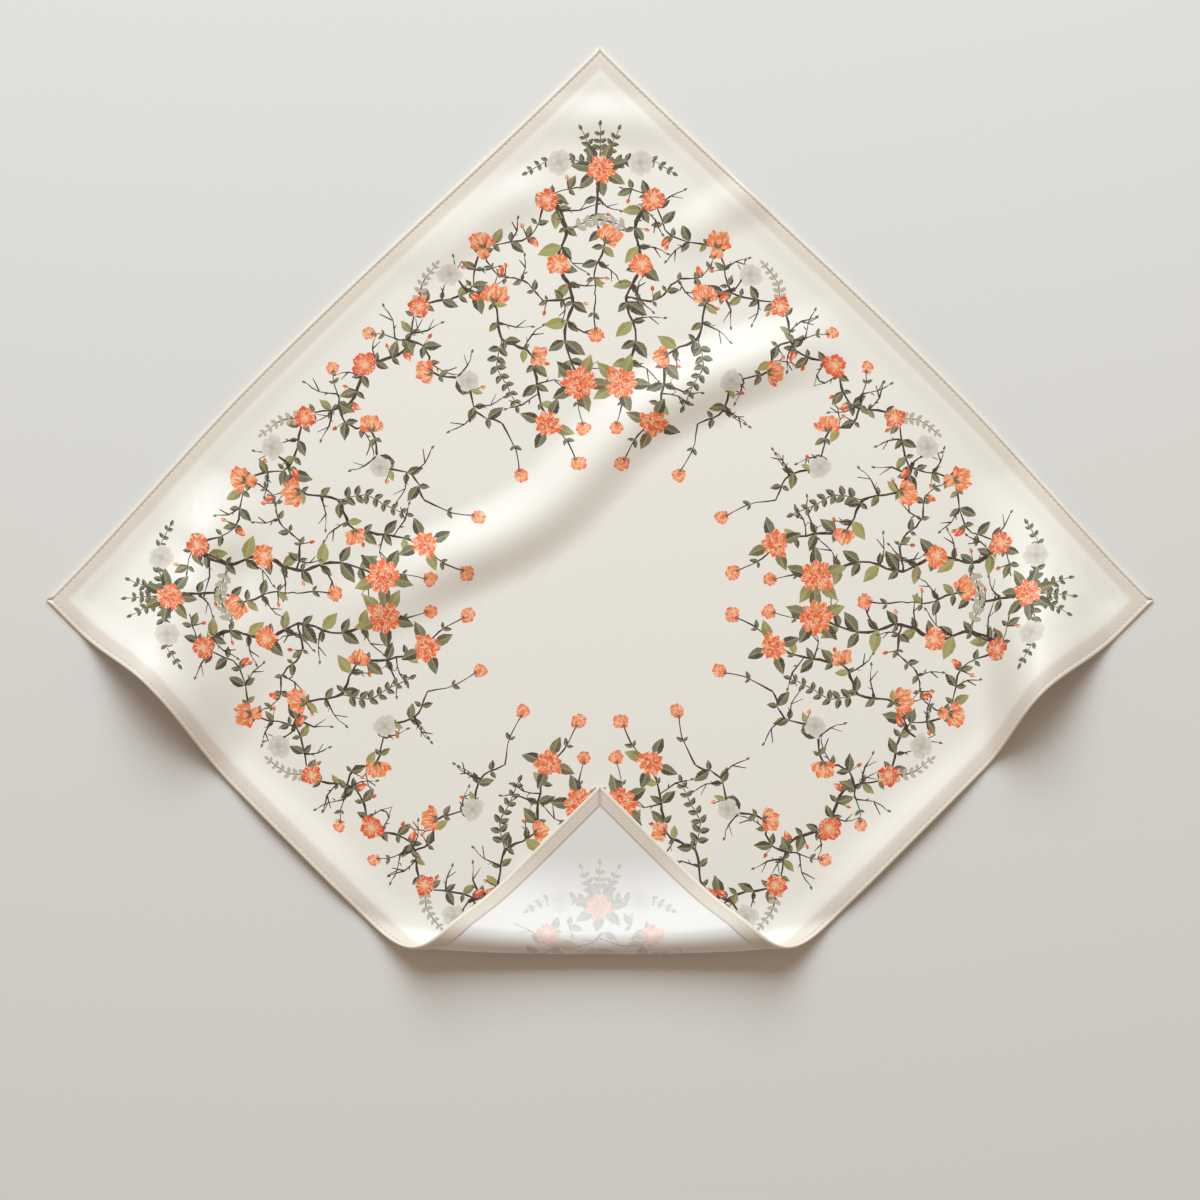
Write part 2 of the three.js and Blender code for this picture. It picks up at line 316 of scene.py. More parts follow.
def turned_corner(past, radius):
    """How far each point that lies past the start of the rise has run and risen."""
    slope = math.pi + FALL_ANGLE
    highest = bend(RISE_RADIUS, 0, RISE_ANGLE)[1] + bend(radius, RISE_ANGLE, slope)[1]
    fall = highest + bend(LANDING_RADIUS, slope, math.pi)[1] - CLOTH_WALL - LAYER_GAP
    lengths = [
        RISE_RADIUS * RISE_ANGLE,
        radius * (slope - RISE_ANGLE),
        np.maximum(fall, 0) / math.sin(FALL_ANGLE),
        LANDING_RADIUS * FALL_ANGLE,
    ]
    left = np.maximum(past, 0)
    walked = []
    for length in lengths:
        walked.append(np.minimum(left, length))
        left = left - walked[-1]
    parts = [
        bend(RISE_RADIUS, 0, np.maximum(walked[0] / RISE_RADIUS, 1e-9)),
        bend(radius, RISE_ANGLE, RISE_ANGLE + np.maximum(walked[1] / radius, 1e-9)),
        (walked[2] * math.cos(slope), walked[2] * math.sin(slope)),
        bend(LANDING_RADIUS, slope, slope - np.maximum(walked[3] / LANDING_RADIUS, 1e-9)),
    ]
    run = sum(part[0] for part in parts) - left + np.minimum(past, 0)
    return run, sum(part[1] for part in parts)


def bowed(along_side, towards_side):
    """How far an upper side's bow moves the cloth outward."""
    from_peak = (along_side + HALF_SIDE) / SIDE - BOW_PEAK
    reach = np.where(from_peak < 0, BOW_PEAK, 1 - BOW_PEAK)
    return SIDE_BOW * bell(np.abs(from_peak) / reach) * smooth_step(towards_side, 0, HALF_SIDE)


def drawn_back(x, y):
    """How far the ridge across the middle draws the cloth back."""
    ahead = 1 - smooth_step(y, DRAW_FRONT * HALF_DIAGONAL, DRAW_BACK * HALF_DIAGONAL)
    return RIDGE_DRAW * bell(np.abs(x) / (DRAW_REACH * HALF_DIAGONAL)) * ahead


def cloth_point(u, v):
    """Where each point of the flat cloth's middle surface comes to lie."""
    spread_u, spread_v = u + bowed(v, u), v + bowed(u, v)
    across, along = (spread_u - spread_v) * math.sqrt(0.5), (spread_u + spread_v) * math.sqrt(0.5)
    drawn = drawn_back(across, along)
    ends = (across / (ROLL_REACH * HALF_DIAGONAL)) ** 2
    past = ROLL_BOW * ends - along - ROLL_START * HALF_DIAGONAL
    run, rise = turned_corner(past, ROLL_RADIUS + (ROLL_END_RADIUS - ROLL_RADIUS) * ends)
    rise_length = RISE_RADIUS * RISE_ANGLE
    lying = 1 - smooth_step(past, rise_length / 2, 2 * rise_length)
    inset = HALF_SIDE - np.maximum(np.abs(u), np.abs(v))
    on_hem = 1 - smooth_step(inset, HEM_WIDTH, HEM_WIDTH + SETTLE_WIDTH)
    hem_lift = (CLOTH_WALL + LAYER_GAP) * on_hem * lying
    forward = along + drawn + past - run + CENTRE_Y
    point = np.stack([across, forward, CLOTH_WALL / 2 + rise + hem_lift], axis=1)
    for fold in FOLDS:
        lift = fold_rise(fold, across, along + drawn) * lying
        point += lift[:, None] * np.array([*fold["pull"], 1])
    return point


def lay(flat):
    """Lays points of flat pieces, which hold u, v and an offset to the printed face, in metres.
    Also gives the cloth's directions there: along u, along v, and out of the printed face."""
    u, v, offset = flat.T
    step = 0.5
    along_u = cloth_point(u + step, v) - cloth_point(u - step, v)
    along_v = cloth_point(u, v + step) - cloth_point(u, v - step)
    along_u /= np.linalg.norm(along_u, axis=1)[:, None]
    along_v /= np.linalg.norm(along_v, axis=1)[:, None]
    out = np.cross(along_u, along_v)
    out /= np.linalg.norm(out, axis=1)[:, None]
    return (cloth_point(u, v) + out * offset[:, None]) * MM, along_u, along_v, out


def mesh_points(piece):
    """The places of a piece's vertices, as an array."""
    places = np.empty(len(piece.data.vertices) * 3)
    piece.data.vertices.foreach_get("co", places)
    return places.reshape(-1, 3)


# Printed garland
# Acid dyes screen-printed on the front face only. It is a plain garden pattern, drawn once for a quarter of
# the cloth and mirrored: a garland along each side, a rosette in each corner, and branches that grow inward
# and leave the middle bare.
INKS = {
    "coral": "#EC5A19",
    "deep coral": "#D93B0B",
    "peach": "#F38D4E",
    "blush": "#FBC79B",
    "slate leaf": "#2E281E",
    "moss leaf": "#4A402B",
    "olive leaf": "#75633B",
    "lime leaf": "#9D9650",
    "bark": "#3A2014",
    "ash stem": "#624D3D",
    "hip": "#A63E22",
    "mist": "#B7AFA6",
    "pale mist": "#E0DAD3",
}
drawn = []
draw = random.Random(11)


def clipped(outline):
    """The part of an outline that lies in this quarter of the cloth."""
    for axis in (0, 1):
        kept = []
        for a, b in zip(outline, outline[1:] + outline[:1]):
            if a[axis] >= 0:
                kept.append(a)
            if (a[axis] >= 0) != (b[axis] >= 0):
                share = a[axis] / (a[axis] - b[axis])
                cut = [a[k] + share * (b[k] - a[k]) for k in (0, 1)]
                cut[axis] = 0.0
                kept.append(tuple(cut))
        outline = kept
    return outline


def ink(outline, root, heading, length, half_width, kind, base, tip):
    """Adds a shape to the drawing. base and tip are its inks at its root and at its far end."""
    outline = clipped([tuple(float(c) for c in point) for point in outline])
    if len(outline) < 3:
        return
    turn = sum(a[0] * b[1] - b[0] * a[1] for a, b in zip(outline, outline[1:] + outline[:1]))
    drawn.append(
        {
            "outline": outline if turn > 0 else outline[::-1],
            "root": root,
            "heading": heading,
            "length": length,
            "half_width": half_width,
            "kind": kind,
            "base": linear(INKS[base]),
            "tip": linear(INKS[tip]),
            "seed": draw.random() * 50,
        }
    )


def ways(heading):
    """The unit vectors ahead and to the left of a heading."""
    ahead = np.array([math.cos(heading), math.sin(heading)])
    return ahead, np.array([-ahead[1], ahead[0]])


def blade(root, heading, length, width, profile, kind, base, tip, ragged=0.0, bow=0.0):
    """A leaf or petal: profile gives its half width, as a share, at shares of its length."""
    ahead, aside = ways(heading)
    places = [(0.0, 0.0)]
    places += [(t, w) for t, w in profile]
    places += [(1.0, 0.0)] if profile[-1][0] < 1 else []
    places += [(t, -w) for t, w in reversed(profile)]
    outline = []
    for t, w in places:
        stray = 1 + ragged * draw.uniform(-1, 1)
        shift = bow * length * t * t
        outline.append(np.array(root) + ahead * length * t * stray + aside * (width / 2 * w * stray + shift))
    ink(outline, root, heading, length, width / 2, kind, base, tip)


OVATE = [(0.12, 0.45), (0.34, 0.98), (0.6, 0.9), (0.84, 0.42)]
LANCE = [(0.15, 0.55), (0.4, 1.0), (0.7, 0.7)]
PETAL = [(0.34, 0.6), (0.68, 1.0), (0.9, 0.78), (1.03, 0.34)]
DROP = [(0.16, 0.75), (0.45, 1.0), (0.82, 0.6)]


def leaf(root, heading, length, tone, profile=OVATE, slender=0.52):
    """One printed leaf, a shade lighter at its tip."""
    tips = {"slate leaf": "moss leaf", "moss leaf": "olive leaf", "olive leaf": "lime leaf"}
    bow = draw.uniform(-0.12, 0.12)
    blade(root, heading, length, length * slender, profile, "leaf", tone, tips.get(tone, tone), 0.03, bow)


def heart(centre, radius):
    """The round heart of a full blossom."""
    outline = [
        (centre[0] + radius * math.cos(a), centre[1] + radius * math.sin(a))
        for a in np.linspace(0, 2 * math.pi, 6, endpoint=False)
    ]
    root = (centre[0], centre[1] - radius)
    ink(outline, root, math.pi / 2, 2 * radius, radius, "petal", "deep coral", "coral")


def stem(route, start_width, end_width, tone="bark"):
    """A crooked stem with knots along a route of points, narrower towards its end."""
    route = np.array(route, dtype=float)
    ahead = np.gradient(route, axis=0)
    ahead /= np.linalg.norm(ahead, axis=1)[:, None]
    aside = np.stack([-ahead[:, 1], ahead[:, 0]], axis=1)
    strays = [0.0] + [draw.uniform(-0.5, 0.5) for _ in route[2:]] + [0.0]
    route += aside * np.array(strays)[:, None] * min(start_width, 1.5)
    knots = [draw.uniform(0.6, 1.4) for _ in route]
    half = (np.linspace(start_width, end_width, len(route)) * knots)[:, None] / 2
    outline = np.vstack([route + aside * half, (route - aside * half)[::-1]])
    ink(outline, tuple(route[0]), 0.0, 10.0, start_width, "stem", tone, tone)


def rosette(centre, radius):
    """A full round blossom with three rings of petals."""
    rings = [(1.0, 8, "peach", "coral"), (0.76, 6, "blush", "coral"), (0.5, 5, "peach", "deep coral")]
    for share, count, base, tip in rings:
        start = draw.uniform(0, math.pi)
        for k in range(count):
            heading = start + 2 * math.pi * k / count
            length = radius * share * draw.uniform(0.85, 1.08)
            blade(centre, heading, length, length * 5.0 / count, PETAL, "petal", base, tip, 0.12)
    heart(centre, radius * 0.16)


def open_blossom(centre, radius, base="peach", tip="deep coral"):
    """A small blossom with five petals round four inner ones. The pale grey ones have no streaks."""
    start = draw.uniform(0, math.pi)
    pale = tip == "pale mist"
    kind = "stem" if pale else "petal"
    for k in range(5):
        heading = start + 2 * math.pi * k / 5
        length = radius * draw.uniform(0.84, 1.08)
        blade(centre, heading, length, length * 1.06, PETAL, kind, base, tip, 0.12)
    inner = base if pale else "blush"
    for k in range(4):
        heading = start + 0.5 + math.pi / 2 * k
        blade(centre, heading, radius * 0.6, radius * 0.56, DROP, kind, inner, tip, 0.1)


def side_blossom(root, heading, length):
    """A blossom seen from its side: ragged petals that fan out of a green calyx."""
    petals = [
        (-0.95, 0.8, "peach", "coral"),
        (0.95, 0.8, "peach", "coral"),
        (-0.42, 1, "deep coral", "peach"),
        (0.48, 1, "blush", "coral"),
        (0.05, 1, "coral", "peach"),
    ]
    for turn, share, base, tip in petals:
        size = length * draw.uniform(0.86, 1.06) * share
        blade(root, heading + turn, size, size * 0.66, PETAL, "petal", base, tip, 0.12)
    for turn in (-0.6, 0.6):
        blade(root, heading + turn, length * 0.42, length * 0.2, LANCE, "leaf", "slate leaf", "moss leaf")


def pompon(root, heading, stalk, radius):
    """A small round blossom on a long bare stalk, with a pair of leaves halfway."""
    ahead, aside = ways(heading)
    root = np.array(root)
    end = root + ahead * stalk
    half_way = root + ahead * stalk * 0.5 + aside * stalk * 0.07 * draw.choice((-1, 1))
    stem(smooth_curve([root, half_way, end], 5), 1.0, 0.8)
    leaf(half_way, heading + 0.8, radius * 1.2, "slate leaf", DROP, 0.5)
    leaf(half_way, heading - 0.9, radius * 0.9, "slate leaf", DROP, 0.5)
    centre = end + ahead * radius * 0.75
    for k in range(6):
        turned = heading + 2 * math.pi * (k + 0.5) / 6
        length = radius * draw.uniform(0.86, 1.08)
        blade(centre, turned, length, length, PETAL, "petal", "blush", "coral", 0.1)
    blade(end, heading, radius * 1.1, radius * 0.8, DROP, "petal", "coral", "peach", 0.1)
    blade(end - ahead, heading, 2.6, 2.4, DROP, "leaf", "slate leaf", "moss leaf")


def bud(root, heading, length):
    """A closed bud in its green calyx."""
    blade(root, heading, length, length * 0.6, DROP, "petal", "deep coral", "coral", 0.05)
    for turn in (-0.7, 0.7):
        blade(root, heading + turn, length * 0.5, length * 0.2, LANCE, "leaf", "slate leaf", "moss leaf")


def berry(root, heading, size):
    """A rose-hip on a short stalk."""
    ahead, _ = ways(heading)
    end = np.array(root) + ahead * size * 2.4
    stem([root, end], 0.8, 0.6)
    blade(end, heading, size * 1.5, size, DROP, "petal", "hip", "coral", 0.04)


def twig(root, heading, length):
    """A thin crooked twig with a thorn, which forks near its end."""
    ahead, aside = ways(heading)
    root = np.array(root)
    bow = draw.choice((-1, 1)) * 0.13 * length
    middle = root + ahead * length * 0.55 + aside * bow
    end = root + ahead * length + aside * bow * 0.4
    fork = middle + ahead * length * 0.32 - aside * bow * 2.2
    thorn = root + ahead * length * 0.3 + aside * bow * 0.7
    stem(smooth_curve([root, middle, end], 4), 1.2, 0.5)
    stem([middle, fork], 0.9, 0.5)
    stem([thorn, thorn + ahead * 1.6 + aside * np.sign(bow) * 2.4], 1.0, 0.2)
    blade(end, heading, 3.6, 1.7, LANCE, "leaf", "slate leaf", "slate leaf")


def stations(curve, step, start, rest):
    """Even steps along a curve, from so many steps after its start to so many before its end.
    Gives for each one its share of the curve's length, its place and the curve's heading there."""
    reached = np.concatenate([[0], np.cumsum(np.hypot(*np.diff(curve, axis=0).T))])
    for at in np.arange(step * start, reached[-1] - step * rest, step):
        place = np.array([np.interp(at, reached, curve[:, k]) for k in (0, 1)])
        ahead = np.array([np.interp(at + 1, reached, curve[:, k]) for k in (0, 1)]) - place
        yield at / reached[-1], place, math.atan2(ahead[1], ahead[0])


def spray(route, leaf_length, tones, width, step, hips, sprigs):
    """A stem with leaves on both its sides, at each step. hips and sprigs say at every how many steps it
    has a rose-hip and a side twig too."""
    curve = smooth_curve(route, 5 * (len(route) - 1))
    stem(curve, width, width * 0.6)
    for number, (_, place, heading) in enumerate(stations(curve, step, 0.6, 0.3)):
        size = leaf_length * draw.uniform(0.65, 1.2)
        side = 1 if number % 2 else -1
        tone = tones[number % len(tones)]
        leaf(place, heading + side * draw.uniform(0.6, 1.1), size, tone)
        leaf(place, heading - side * draw.uniform(0.8, 1.4), size * draw.uniform(0.5, 0.8), "slate leaf")
        if number % hips == 1:
            berry(place, heading + side * 1.5, 2.7)
        if number % sprigs == 0:
            twig(place, heading - side * draw.uniform(0.9, 1.5), leaf_length * draw.uniform(1.3, 1.9))


def fern(route, leaf_length, tone, step=5.0):
    """A fine stem with small round leaves in pairs and one at its tip."""
    curve = smooth_curve(route, 4 * (len(route) - 1))
    stem(curve, 0.9, 0.6, "ash stem")
    for share, place, heading in stations(curve, step, 1, 0.4):
        size = leaf_length * (1.1 - 0.5 * share)
        for side in (-1, 1):
            leaf(place, heading + side * draw.uniform(0.8, 1.1), size, tone, DROP, 0.62)
    heading = math.atan2(*(curve[-1] - curve[-2])[::-1])
    leaf(curve[-1], heading, leaf_length * 0.7, tone, DROP, 0.6)


def both_ways(points):
    """The same points on this side of the quarter's diagonal and on the other."""
    return [points, [(q, p) for p, q in points]]


# A wavy garland along each side of the quarter, with ferns that reach out to the border
GARLAND = [(0, 219), (26, 208), (54, 222), (84, 207), (112, 221), (140, 206), (168, 216), (188, 206)]
for garland in both_ways(GARLAND):
    tones = ["slate leaf", "moss leaf", "slate leaf", "olive leaf"]
    spray(garland, 11.0, tones, width=1.6, step=11.5, hips=4, sprigs=3)
for sprig in both_ways([(54, 222), (66, 232), (82, 235)]):
    fern(sprig, 5.5, "mist")
for sprig in both_ways([(206, 206), (222, 198), (234, 186), (238, 170)]):
    fern(sprig, 6.5, "slate leaf", 6.0)

# Crooked branches that grow inward from the garlands and meet in clusters of full blossoms
for branch in both_ways([(214, 168), (193, 161), (179, 140), (156, 131), (140, 107), (114, 94)]):
    tones = ["olive leaf", "slate leaf", "lime leaf", "slate leaf"]
    spray(branch, 14.0, tones, width=2.8, step=13.5, hips=4, sprigs=2)
for branch in both_ways([(210, 84), (190, 91), (169, 78), (148, 84), (126, 68), (106, 60)]):
    tones = ["slate leaf", "lime leaf", "moss leaf"]
    spray(branch, 13.0, tones, width=2.2, step=13.5, hips=4, sprigs=2)
for shoot in both_ways([(156, 131), (168, 116), (186, 116), (200, 106)]):
    spray(shoot, 9.5, ["slate leaf", "moss leaf"], width=1.5, step=11.0, hips=3, sprigs=3)
for shoot in both_ways([(218, 27), (200, 37), (184, 29), (164, 40), (146, 31), (128, 37)]):
    tones = ["moss leaf", "slate leaf", "lime leaf"]
    spray(shoot, 11.0, tones, width=1.6, step=12.0, hips=4, sprigs=2)
diagonal = [(196, 198), (180, 184), (172, 168), (154, 159), (142, 146)]
spray(diagonal, 10.0, ["slate leaf", "olive leaf"], width=1.7, step=11.5, hips=4, sprigs=2)
for sprig in both_ways([(190, 162), (184, 178), (170, 188)]):
    fern(sprig, 6.0, "mist", 6.0)
for sprig in both_ways([(169, 78), (158, 62), (142, 57), (130, 52)]):
    fern(sprig, 7.5, "slate leaf", 6.5)
for root, heading in [
    ((193, 161), 0.5),
    ((210, 84), 0.5),
    ((218, 27), 0.4),
    ((126, 68), -1.2),
    ((146, 31), -1.4),
]:
    twig(root, heading, 19)
    twig(root[::-1], math.pi / 2 - heading, 22)

# Small blossoms on long stalks, most of which lean into the bare middle
for root, heading, stalk, radius in [
    ((114, 94), 3.83, 30, 4.9),
    ((106, 60), 3.35, 30, 5.2),
    ((128, 37), 3.6, 34, 4.9),
    ((200, 106), 0.2, 16, 4.4),
    ((218, 27), -0.6, 15, 4.2),
]:
    pompon(root, heading, stalk, radius)
    pompon(root[::-1], math.pi / 2 - heading, stalk, radius)
pompon((142, 146), -2.36, 22, 5.2)

# Open blossoms in coral and pale grey, blossoms seen from their side, and buds
for centre, radius, base, tip in [
    ((54, 222), 7.2, "peach", "deep coral"),
    ((166, 216), 7.6, "peach", "deep coral"),
    ((179, 140), 7.4, "peach", "coral"),
    ((84, 224), 8.0, "mist", "pale mist"),
    ((190, 228), 8.5, "mist", "pale mist"),
    ((164, 42), 7.5, "mist", "pale mist"),
]:
    open_blossom(centre, radius, base, tip)
    open_blossom(centre[::-1], radius, base, tip)
open_blossom((0, 219), 8.0)
open_blossom((219, 0), 8.0)
for root, heading, length in [
    ((112, 221), 1.0, 12.5),
    ((190, 91), 0.9, 13.0),
    ((184, 29), -0.7, 12.0),
    ((148, 84), 2.6, 10.5),
]:
    side_blossom(root, heading, length)
    side_blossom(root[::-1], math.pi / 2 - heading, length)
side_blossom((172, 168), 0.1, 12.5)
for root, heading, length in [
    ((26, 208), -1.9, 8.5),
    ((84, 206), -1.3, 9.0),
    ((140, 205), -1.7, 8.5),
    ((200, 106), 1.1, 8.0),
]:
    bud(root, heading, length)
    bud(root[::-1], math.pi / 2 - heading, length)

# Ferns that fan out into the corner, then the corner's rosette and the full blossoms of the clusters
for heading in np.linspace(0.35, math.pi / 2 - 0.35, 3):
    fan = [(206 + s * math.cos(heading), 206 + s * math.sin(heading)) for s in (8, 18, 29)]
    fern(fan, 6.0, "slate leaf")
for centre, radius, leaves in [
    ((206, 206), 9.5, 7),
    ((112, 93), 11.0, 5),
    ((93, 112), 11.0, 5),
    ((107, 58), 9.2, 4),
    ((58, 107), 9.2, 4),
]:
    for heading in np.arange(leaves) * 2 * math.pi / leaves + 0.4:
        root = np.array(centre) + 5 * ways(heading)[0]
        leaf(root, heading, radius + 5, draw.choice(["olive leaf", "slate leaf", "moss leaf"]))
    rosette(centre, radius)

# Silk panel
# One square of silk twill of about 16 momme. It is a flat shell of one layer in which every printed shape is
# cut out as faces of its own, so that its dye has a clean edge, and it is then laid over the folds. The
# reverse has the printed shapes of the turned corner only, where they show through.
SILK_WALL = 0.5
PANEL_EDGE = 1.3  # how far inside the finished side the panel's cut edge lies, in its hem
GRID_STEP = 5.6  # of the cloth's mesh, between the printed shapes
GRID_CLEARANCE = 1.3  # between the points of that grid and the printed shapes' corners
SEAM_INSET = 3.1  # the hem's line of stitches, from the finished side
SEAM_STRIP = 3  # beside that line, where the mesh has rows of its own
STITCH_PITCH = 3.9
SEAM_DEPTH = 0.12
SEAM_WIDTH = 0.9
TURNED_FROM = 298  # sum of u and v from which a printed shape lies on the turned corner
TIGHT_BEND = (12, 95)  # where the roll bends the cloth most, past the start of its rise
VEIN_PITCH = 2.3
TWILL_PITCH = 1.6
TWILL_RELIEF = 0.06
FACE_CHART = (0.005, 0.72)  # where the printed face starts on its square map, and how much of it it takes
REVERSE_CHART = (0.735, 0.26)

edge = HALF_SIDE - PANEL_EDGE
inner = HALF_SIDE - SEAM_INSET - SEAM_STRIP
grid =np.linspace(0, inner, round(inner / GRID_STEP) + 1)
seam_steps = np.linspace(0, edge, round(edge / STITCH_PITCH * 2) + 1)


def topmost_shapes(places, numbers):
    """Which of these shapes was printed last at each place, or -1 on bare ground."""
    topmost = np.full(len(places), -1)
    x, y = places.T
    for number in numbers:
        outline = np.array(drawn[number]["outline"])
        low, high = outline.min(axis=0), outline.max(axis=0)
        near = np.flatnonzero((x > low[0]) & (x < high[0]) & (y > low[1]) & (y < high[1]))
        crossings = np.zeros(len(near), dtype=int)
        for a, b in zip(outline, np.roll(outline, -1, axis=0)):
            spans = (a[1] > y[near]) != (b[1] > y[near])
            if a[1] != b[1]:
                crossings += spans & (x[near] < a[0] + (y[near] - a[1]) / (b[1] - a[1]) * (b[0] - a[0]))
        topmost[near[crossings % 2 == 1]] = number
    return topmost


def cut_quarter(numbers, insets):
    """A quarter of a sheet: its points, its triangles and the number of the shape on each of them.
    It has extra points on lines beside its outer sides, at these distances in from the finished side."""
    outside = (-9, -9)  # a point that keeps the list from being empty where there are no shapes
    taken = np.array([outside] + [point for number in numbers for point in drawn[number]["outline"]])
    spots = [(p, q) for p in grid for q in grid if np.hypot(*(taken - (p, q)).T).min() > GRID_CLEARANCE]
    for line in [HALF_SIDE - inset for inset in insets]:
        spots += [spot for s in seam_steps if s < line - 1 for spot in ((s, line), (line, s))]
        spots.append((line, line))
    corners = [Vector(spot) for spot in spots]
    outlines = []
    for number in numbers:
        first, count = len(corners), len(drawn[number]["outline"])
        outlines += [(first + k, first + (k + 1) % count) for k in range(count)]
        corners += [Vector(point) for point in drawn[number]["outline"]]
    points, _, triangles, *_ = delaunay_2d_cdt(corners, outlines, [], 0, 1e-4, False)
    points = np.array(points)
    centres = points[np.array(triangles)].mean(axis=1)
    return points, triangles, topmost_shapes(centres, numbers).tolist()


def turned_over(number):
    """Whether a shape lies where the turned corner shows its reverse."""
    return min(sum(point) for point in drawn[number]["outline"]) > TURNED_FROM


bm = bmesh.new()
shape_of = bm.faces.layers.int.new("shape")
seam_lines = (SEAM_INSET - SEAM_WIDTH, SEAM_INSET, SEAM_INSET + SEAM_WIDTH)
front = cut_quarter(range(len(drawn)), (PANEL_EDGE, *seam_lines))
plain = cut_quarter([], (PANEL_EDGE,))
turned = cut_quarter([n for n in range(len(drawn)) if turned_over(n)], (PANEL_EDGE,))
for height, quarters in ((SILK_WALL / 2, [front] * 4), (-SILK_WALL / 2, [plain, plain, turned, plain])):
    for (way_u, way_v), (points, triangles, numbers) in zip([(1, 1), (-1, 1), (-1, -1), (1, -1)], quarters):
        verts = [bm.verts.new((p * way_u, q * way_v, height)) for p, q in points]
        outward = way_u * way_v * height > 0
        for triangle, number in zip(triangles, numbers):
            ring = [verts[i] for i in triangle]
            bm.faces.new(ring if outward else ring[::-1])[shape_of] = number
bmesh.ops.remove_doubles(bm, verts=bm.verts[:], dist=1e-3)
rim = bmesh.ops.bridge_loops(bm, edges=[e for e in bm.edges if e.is_boundary])["faces"]
for face in rim:
    face[shape_of] = -1


def in_roll(vert):
    """Whether a point of the flat cloth lies where the corner bends over."""
    across, along = (vert.co.x - vert.co.y) * math.sqrt(0.5), (vert.co.x + vert.co.y) * math.sqrt(0.5)
    past = ROLL_BOW * (across / (ROLL_REACH * HALF_DIAGONAL)) ** 2 - along - ROLL_START * HALF_DIAGONAL
    return TIGHT_BEND[0] < past < TIGHT_BEND[1]


bent = [e for e in bm.edges if e.calc_length() > 3 and all(in_roll(v) for v in e.verts)]
bmesh.ops.subdivide_edges(bm, edges=bent, cuts=1)
bmesh.ops.triangulate(bm, faces=bm.faces[:])


def seam_relief(flat):
    """How far the stitches pull the cloth in beside the hem: a groove with a dent at each needle hole."""
    from_middle = np.abs(flat[:, :2])
    across, along = from_middle.max(axis=1), from_middle.min(axis=1)
    groove = np.exp(-(((HALF_SIDE - across - SEAM_INSET) / SEAM_WIDTH) ** 2))
    dents = 0.5 + 0.5 * np.cos(2 * math.pi * along / STITCH_PITCH)
    return -SEAM_DEPTH * groove * (0.25 + 0.75 * dents)


def attribute(tree, name):
    """The outputs of one of the mesh's attributes."""
    return add_node(tree, "ShaderNodeAttribute", attribute_name=name).outputs


def ramp(tree, value, low, high, bottom=0.0, top=1.0, **settings):
    """What goes from bottom to top while the value goes from low to high."""
    inputs = {"Value": value, "From Min": low, "From Max": high, "To Min": bottom, "To Max": top}
    return add_node(tree, "ShaderNodeMapRange", inputs, **settings).outputs[0]


